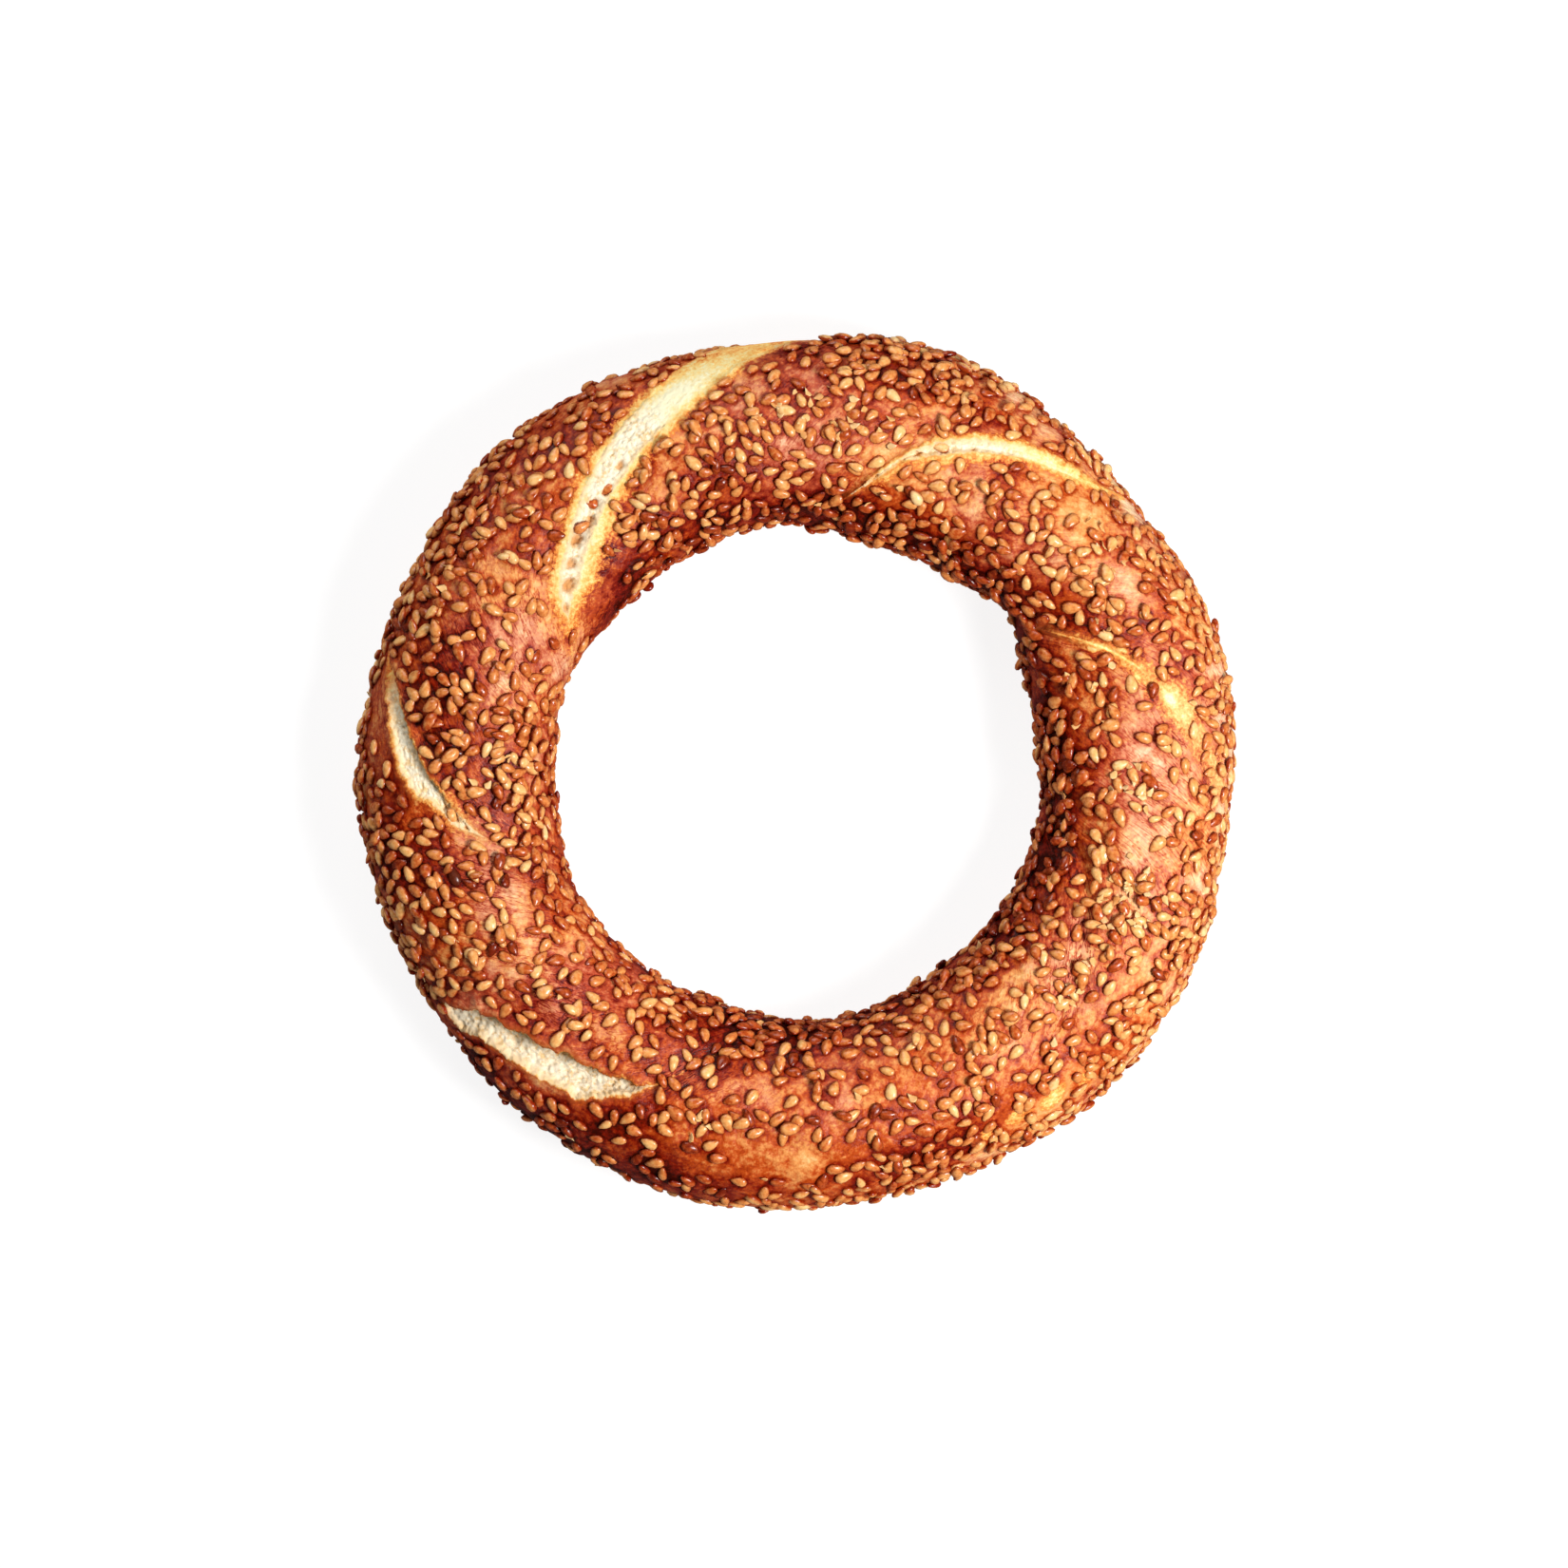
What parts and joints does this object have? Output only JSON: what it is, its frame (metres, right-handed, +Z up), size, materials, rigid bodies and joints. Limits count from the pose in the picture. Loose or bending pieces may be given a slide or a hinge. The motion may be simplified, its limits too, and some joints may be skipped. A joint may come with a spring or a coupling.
{
  "type": "simit",
  "caption": "Baked ring of bread twisted from two strands of dough, with torn splits along the twist and a crust of sesame.",
  "frame": {"origin": "centre of the ring, on the plane that its base rests on", "axes": "+Z up, through the middle of the hole; +X and +Y lie in the plane of the ring, and from +X the widest torn split is about a third of a turn round"},
  "size_m": [0.1608, 0.1613, 0.0299],
  "materials": {
    "crust": "baked brown crust with a thin molasses glaze, pale yellow crumb in the splits",
    "sesame": "toasted sesame, slightly glossy"
  },
  "bodies": {
    "root": {"simit": "crust"}
  },
  "joints": []
}
